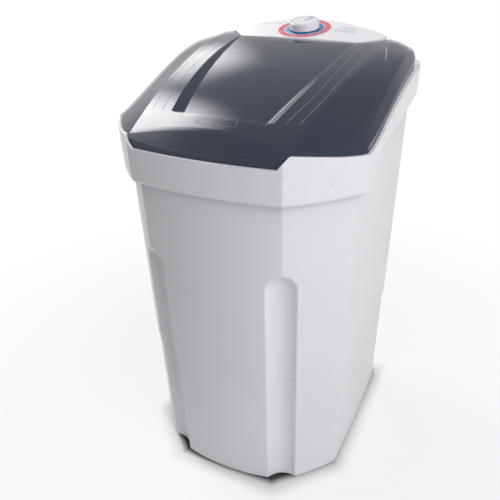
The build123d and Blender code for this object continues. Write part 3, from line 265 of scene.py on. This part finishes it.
def close_loops(form, rings, whole):
    """Join rings of points to a tube: a whole circle, or a run with a face at each end."""
    following = rings[1:] + ([rings[0]] if whole else [])
    sides = len(rings[0])
    for first, second in zip(rings, following):
        for k in range(sides):
            ahead = (k + 1) % sides
            form.faces.new((first[k], first[ahead], second[ahead], second[k]))
    if not whole:
        form.faces.new(rings[0])
        form.faces.new(list(reversed(rings[-1])))


def strip(form, spots, width, sink, proud, closed=False):
    """A low ridge with a rounded top, along a line of points and normals."""
    top = [(-0.42, 0.6), (-0.18, 1.0), (0.18, 1.0), (0.42, 0.6)]
    shape = [(-0.5, -sink), *((across, proud * share) for across, share in top), (0.5, -sink)]
    count = len(spots)
    rings = []
    for index, (spot, normal) in enumerate(spots):
        before = spots[(index - 1) % count if closed else max(index - 1, 0)][0]
        after = spots[(index + 1) % count if closed else min(index + 1, count - 1)][0]
        side = (after - before).cross(normal).normalized()
        rings.append([form.verts.new(spot + side * (across * width) + normal * height)
                      for across, height in shape])
    close_loops(form, rings, closed)


def smooth_line(points, steps):
    """Points along a smooth line through the given ones."""
    line = []
    last = len(points) - 1
    for index in range(last):
        around = [points[min(max(index + k, 0), last)] for k in (-1, 0, 1, 2)]
        for step in range(steps):
            t = step / steps
            line.append(tuple(
                0.5 * (2 * b + (c - a) * t + (2 * a - 5 * b + 4 * c - d) * t * t
                       + (3 * b - a - 3 * c + d) * t ** 3)
                for a, b, c, d in zip(*around)))
    return line + [tuple(points[-1])]


def rounded(half_x, half_y, radius):
    """The outline of a rounded rectangle round the origin."""
    steps = 6
    outline = []
    for quarter, (sx, sy) in enumerate(((1, 1), (-1, 1), (-1, -1), (1, -1))):
        for step in range(steps + 1):
            angle = math.pi / 2 * (quarter + step / steps)
            outline.append((sx * (half_x - radius) + radius * math.cos(angle),
                            sy * (half_y - radius) + radius * math.sin(angle)))
    return outline


def add_number(form, number, size, lay):
    """Add a plain number in the built-in face; lay gives the place of each of its points."""
    curve = bpy.data.curves.new("numbers", "FONT")
    curve.body = str(number)
    curve.size = size
    curve.align_x = "CENTER"
    curve.align_y = "CENTER"
    curve.extrude = 0.00005
    curve.resolution_u = 3
    item = bpy.data.objects.new("numbers", curve)
    scene.collection.objects.link(item)
    shown = item.evaluated_get(bpy.context.evaluated_depsgraph_get())
    mesh = bpy.data.meshes.new_from_object(shown)
    bpy.data.objects.remove(item)
    for vertex in mesh.vertices:
        vertex.co = lay(vertex.co)
    form.from_mesh(mesh)
    bpy.data.meshes.remove(mesh)


# Fine lines along the lid's shoulders, and the border round its bare name place

lid_lines = {       # x of the right side and y in mm, from the front to the rear
    "inner": [(120, -173), (129, -134), (138, -92), (143, -48),
              (146.5, -4), (148.5, 40), (149, 88), (149.5, 145)],
    "outer": [(143, -169), (151, -130), (157.5, -92), (163, -48),
              (167.5, -4), (171.5, 41), (176, 95), (181, 158)],
}
line_sink, line_proud = 0.0006, 0.00022
badge_half_x, badge_half_y, badge_round, badge_y = 38, 8, 3, -189.5
lid_top = surface("lid")

for side_name, side in (("left", -1), ("right", 1)):
    for line_name, line in lid_lines.items():
        form = bmesh.new()
        spots = [down_on(lid_top, side * x * mm, y * mm) for x, y in smooth_line(line, steps=6)]
        strip(form, spots, 0.0011, line_sink, line_proud)
        place(f"lid_line_{side_name}_{line_name}", form, "lid", prints["lid_line"])

form = bmesh.new()
badge = [(x, y + badge_y) for x, y in rounded(badge_half_x, badge_half_y, badge_round)]
spots = [down_on(lid_top, x * mm, y * mm) for x, y in badge]
strip(form, spots, 0.0010, line_sink, line_proud, closed=True)
place("lid_badge_border", form, "lid", prints["lid_line"])


# The dial's own plane: x to the right and y to the rear of the knob's axis, heights above its face

tilt = math.radians(12)
dial_centre = Vector((0, 0.2055, 0.9121))
dial_normal = Vector((0, -math.sin(tilt), math.cos(tilt)))
dial_up = Vector((0, math.cos(tilt), math.sin(tilt)))
dial_right = Vector((1, 0, 0))
above_knob = 0.06
probe = dial_centre + dial_right * 0.045 + dial_normal * 0.05       # over the bare dial plate
probe_hit = surface("dial_plate").ray_cast(probe, -dial_normal)[0]
dial_top = (probe_hit - dial_centre).dot(dial_normal)


def on_dial(x, y, height):
    return dial_centre + dial_right * x + dial_up * y + dial_normal * (dial_top + height)


def over_dial(tree, x, y):
    """The point of a surface straight above or below a place on the dial, and the dial's normal."""
    spot = tree.ray_cast(on_dial(x, y, above_knob), -dial_normal)[0]
    return spot, dial_normal


def polar(radius, degrees):
    angle = math.radians(degrees)
    return radius * math.sin(angle), radius * math.cos(angle)


def band(form, inner, outer, start, end, low, high):
    """A flat ring or part of one, in degrees clockwise from the rear."""
    step_degrees = 5
    whole = end - start >= 360
    steps = max(2, round((end - start) / step_degrees))
    rings = []
    for step in range(steps if whole else steps + 1):
        angle = start + (end - start) * step / steps
        corners = ((inner, low), (inner, high), (outer, high), (outer, low))
        rings.append([form.verts.new(on_dial(*polar(radius, angle), height))
                      for radius, height in corners])
    close_loops(form, rings, whole)


# The dial's print: rings, sectors, ticks and plain numbers

scale_start, scale_step, scale_end, scale_unit = 15, 11, 30, 5      # degrees, degrees, last, long
tick_inner, tick_long, tick_short, tick_half_angle = 46.2, 4.0, 2.2, 0.45
number_size, number_radius, number_height = 0.0052, 0.0539, 0.00013
sectors = ((195, 235), (240, 285), (120, 150))


def dial_band(name, material, inner, outer, start=0, end=360, low=-0.0001, high=0.0001):
    form = bmesh.new()
    band(form, inner * mm, outer * mm, start, end, low, high)
    place(name, form, "casing", prints[material])


def scale_angle(tick):
    return scale_start + tick * scale_step


def laid_on_scale(tick):
    """A function that lays a flat number on the dial beside a tick."""
    x, y = polar(number_radius, scale_angle(tick))
    turn = Matrix.Rotation(-math.radians(scale_angle(tick)), 4, "Z")

    def lay(point):
        flat = turn @ point
        return on_dial(x + flat.x, y + flat.y, number_height + flat.z)

    return lay


dial_band("dial_outer_ring", "print_red", 45.0, 57.8)
dial_band("dial_light_ring", "print_pale", 43.6, 45.0)
dial_band("dial_inner_ring", "print_blue", 8.5, 43.6)
for number, (start, end) in enumerate(sectors):
    dial_band(f"dial_sector_{number + 1}", "print_teal", 36.0, 42.6, start, end, 0, 0.00016)

form = bmesh.new()
for tick in range(scale_end + 1):
    angle = scale_angle(tick)
    length = tick_long if tick % scale_unit == 0 else tick_short
    band(form, tick_inner * mm, (tick_inner + length) * mm,
         angle - tick_half_angle, angle + tick_half_angle, 0, 0.00018)
place("dial_ticks", form, "casing", prints["print_pale"])

form = bmesh.new()
for tick in range(0, scale_end + 1, scale_unit):
    add_number(form, tick, number_size, laid_on_scale(tick))
place("dial_numbers", form, "casing", prints["print_pale"])


# The knob's marks

pointer_angle = 35
rim_radius = 28.6

cap_face = surface("knob_cap")
form = bmesh.new()
spots = [over_dial(cap_face, *polar(reach * mm, pointer_angle)) for reach in range(3, 24, 5)]
strip(form, spots, width=0.0036, sink=0.0003, proud=0.0003)
place("knob_pointer_mark", form, "timer_knob", prints["print_grey"])

knob_face = surface("timer_knob")
form = bmesh.new()
spots = [over_dial(knob_face, *polar(rim_radius * mm, angle)) for angle in range(0, 360, 6)]
strip(form, spots, width=0.0013, sink=0.0003, proud=0.00025, closed=True)
place("knob_rim_mark", form, "timer_knob", prints["print_grey"])


# Plain bars in place of the panel's print

marks_x, heading_y, heading_row = 92, 232, 4.5
table_x, table_y, table_row, table_rows = 78, 219, 4.2, 5
panel_top = surface("control_panel")


def bar(form, x, y, length, width):
    """A flat mark from left to right on the panel, in mm."""
    step_length = 8
    steps = max(1, round(length / step_length))
    places = [x + (step / steps - 0.5) * length for step in range(steps + 1)]
    spots = [down_on(panel_top, across * mm, y * mm) for across in places]
    strip(form, spots, width * mm, sink=0.0002, proud=0.00012)


form = bmesh.new()
for row in range(2):
    bar(form, marks_x, heading_y - row * heading_row, length=40 - 8 * row, width=1.3)
for row in range(table_rows):
    bar(form, marks_x, table_y - row * table_row, length=50 - 6 * (row % 2), width=0.8)
place("panel_marks_right", form, "casing", prints["print_grey"])

form = bmesh.new()
for row in range(table_rows):
    bar(form, table_x, table_y - row * table_row, length=14, width=2.4)
place("panel_table", form, "casing", prints["print_rose"])

form = bmesh.new()
bar(form, x=-100, y=236, length=62, width=1.6)
place("panel_line_left", form, "casing", prints["print_grey"])


# Water levels on the tub's rear wall

levels = (450, 520, 590, 660)
level_marks = (-134, -124, -114, -104)
level_number_x, level_number_size, level_number_height = -0.090, 0.015, 0.0001
tub_wall = surface("wash_tub")


def on_rear_wall(x, z):
    spot, normal, _, _ = tub_wall.ray_cast(Vector((x, 0, z)), Vector((0, 1, 0)))
    return spot, normal if normal.y < 0 else -normal


def laid_at_level(level):
    """A function that lays a flat number on the wall at a level."""
    def lay(point):
        spot, normal = on_rear_wall(level_number_x + point.x, level * mm + point.y)
        return spot + normal * (level_number_height + point.z)

    return lay


form = bmesh.new()
for number, level in enumerate(levels):
    spots = [on_rear_wall(x * mm, level * mm) for x in level_marks]
    strip(form, spots, width=0.0022, sink=0.0003, proud=0.0003)
    add_number(form, number + 1, level_number_size, laid_at_level(level))
place("tub_level_marks", form, "casing", prints["print_blue"])


# Floor and world


def white_for_seeing(tree, plain, amount):
    """Plain white where the camera, a reflection or a clear part looks, by the given amount."""
    rays = add(tree, "ShaderNodeLightPath").outputs
    mirrored = maths(tree, "MAXIMUM", rays["Is Glossy Ray"], rays["Is Transmission Ray"])
    seen = maths(tree, "MAXIMUM", rays["Is Camera Ray"], mirrored)
    glow = add(tree, "ShaderNodeEmission", Color=(1, 1, 1, 1), Strength=1.0)
    mix = add(tree, "ShaderNodeMixShader")
    tree.links.new(maths(tree, "MULTIPLY", seen, amount), mix.inputs["Fac"])
    tree.links.new(plain, mix.inputs[1])
    tree.links.new(glow.outputs["Emission"], mix.inputs[2])
    return mix.outputs["Shader"]


def footprint(tree, spot):
    """How far out a place on the floor is, where 1 is the outline of the skirt's rim."""
    half_width, half_depth = 0.229, 0.240
    chamfer_x, chamfer_y, chamfer_reach = 0.728, 0.686, 0.251
    place_on = axes(tree, spot)
    across = maths(tree, "ABSOLUTE", place_on["X"])
    along = place_on["Y"]
    side = maths(tree, "MULTIPLY", across, 1 / half_width)
    ends = maths(tree, "MULTIPLY", maths(tree, "ABSOLUTE", along), 1 / half_depth)
    chamfer = maths(tree, "SUBTRACT",
                    maths(tree, "MULTIPLY", across, chamfer_x / chamfer_reach),
                    maths(tree, "MULTIPLY", along, chamfer_y / chamfer_reach))
    return maths(tree, "MAXIMUM", chamfer, maths(tree, "MAXIMUM", side, ends))


def floor_material():
    """Pale floor with a painted contact shadow, dark beneath the machine, that fades to white away
    from it.
    """
    # the dark colour is a painted contact shadow, not a colour of the floor
    painted_shadow_colour, open_floor = (0.08, 0.08, 0.09), (0.80, 0.80, 0.81)
    material, tree, shader = new_material("floor")
    spot = add(tree, "ShaderNodeTexCoord").outputs["Object"]
    edge = footprint(tree, spot)
    # painted shadow: the floor's colour runs from dark inside the rim's outline to pale just
    # outside it
    outward = spread(tree, edge, 0.93, 1.0, 0.0, 1.0)
    tree.links.new(ramp(tree, outward, [(0.0, painted_shadow_colour), (1.0, open_floor)]),
                   shader.inputs["Base Color"])
    uneven_gloss(tree, shader, noise(tree, scale=0.8, detail=2.0), 0.85, 0.95)
    shader.inputs["Specular IOR Level"].default_value = 0.1
    reach = add(tree, "ShaderNodeVectorMath", operation="LENGTH")
    tree.links.new(spot, reach.inputs[0])
    far = spread(tree, reach.outputs["Value"], 0.3, 1.4, 0.76, 1.0, smooth=True)
    clear_of_rim = spread(tree, edge, 0.96, 1.16, 0.0, 1.0, smooth=True)
    amount = maths(tree, "MULTIPLY", far, clear_of_rim)
    tree.links.new(white_for_seeing(tree, shader.outputs["BSDF"], amount),
                   tree.nodes["Material Output"].inputs["Surface"])
    return material


floor = bpy.data.objects.new("floor", bpy.data.meshes.new("floor"))
scene.collection.objects.link(floor)
form = bmesh.new()
bmesh.ops.create_grid(form, x_segments=8, y_segments=8, size=12.0)
form.to_mesh(floor.data)
form.free()
floor.data.materials.append(floor_material())

world = bpy.data.worlds.new("world")
scene.world = world
world.use_nodes = True
tree = world.node_tree
background = tree.nodes["Background"]
background.inputs["Color"].default_value = (0.94, 0.96, 1.0, 1)
background.inputs["Strength"].default_value = 0.10
tree.links.new(white_for_seeing(tree, background.outputs["Background"], 1.0),
               tree.nodes["World Output"].inputs["Surface"])


# Lamps

lamp_distance = 2.6
lid_height, body_height, body_aim = 0.85, 0.6, 0.5


def fade_edges(data, soft):
    """Let a lamp fade out towards its edges; soft is the share of each half that fades."""
    middle, half = 0.5, 0.5
    data.use_nodes = True
    tree = data.node_tree
    place_on = axes(tree, add(tree, "ShaderNodeNewGeometry").outputs["Parametric"])
    fades = []
    for axis in ("X", "Y"):
        outward = maths(tree, "ABSOLUTE", maths(tree, "SUBTRACT", place_on[axis], middle))
        fades.append(spread(tree, outward, half, half - half * soft, 0.0, 1.0, smooth=True))
    tree.links.new(maths(tree, "MULTIPLY", *fades), tree.nodes["Emission"].inputs["Strength"])


def lamp(name, azimuth, elevation, height, aim, size, power, soft=0.0):
    """A soft box that looks at the machine's axis; its place is reckoned from a height on it."""
    data = bpy.data.lights.new(name, "AREA")
    data.shape = "RECTANGLE"
    data.size, data.size_y = size
    data.energy = power
    item = bpy.data.objects.new(name, data)
    scene.collection.objects.link(item)
    a, e = math.radians(azimuth), math.radians(elevation)
    stand = Vector((lamp_distance * math.cos(a) * math.cos(e),
                    lamp_distance * math.sin(a) * math.cos(e),
                    height + lamp_distance * math.sin(e)))
    item.location = stand
    item.rotation_euler = (Vector((0, 0, aim)) - stand).to_track_quat("-Z", "Y").to_euler()
    if soft:
        fade_edges(data, soft)


lamp("key_left_rear", 164, 39, lid_height, lid_height, size=(1.6, 1.8), power=108, soft=0.65)
lamp("rear_left_low", 135, 27, lid_height, lid_height, size=(1.2, 1.2), power=20, soft=0.8)
lamp("fill_right", -28, 24, body_height, body_aim, size=(1.6, 2.0), power=38)
lamp("top_right", -35, 60, body_height, body_aim, size=(1.4, 1.4), power=16)


# Camera, fitted to the photograph's edges

azimuth, elevation, roll = math.radians(23.3), math.radians(28.6), math.radians(0.3)
camera_aim, camera_distance = Vector((0.0418, 0.017, 0.4597)), 1.2253

back = Vector((math.sin(azimuth) * math.cos(elevation),
               -math.cos(azimuth) * math.cos(elevation),
               math.sin(elevation)))
level = (-back).cross(Vector((0, 0, 1))).normalized()
upward = level.cross(-back)
right = math.cos(roll) * level + math.sin(roll) * upward
up = -math.sin(roll) * level + math.cos(roll) * upward
stand = camera_aim + back * camera_distance

camera_data = bpy.data.cameras.new("camera")
camera_data.sensor_width = 36.0
camera_data.sensor_fit = "HORIZONTAL"
camera_data.lens = 38.707
camera_data.shift_x = -0.0738
camera_data.shift_y = 0.0018
camera_data.clip_end = 50
camera = bpy.data.objects.new("camera", camera_data)
scene.collection.objects.link(camera)
camera.matrix_world = Matrix((
    (right.x, up.x, back.x, stand.x),
    (right.y, up.y, back.y, stand.y),
    (right.z, up.z, back.z, stand.z),
    (0, 0, 0, 1)))
scene.camera = camera
scene.view_settings.view_transform = "Standard"
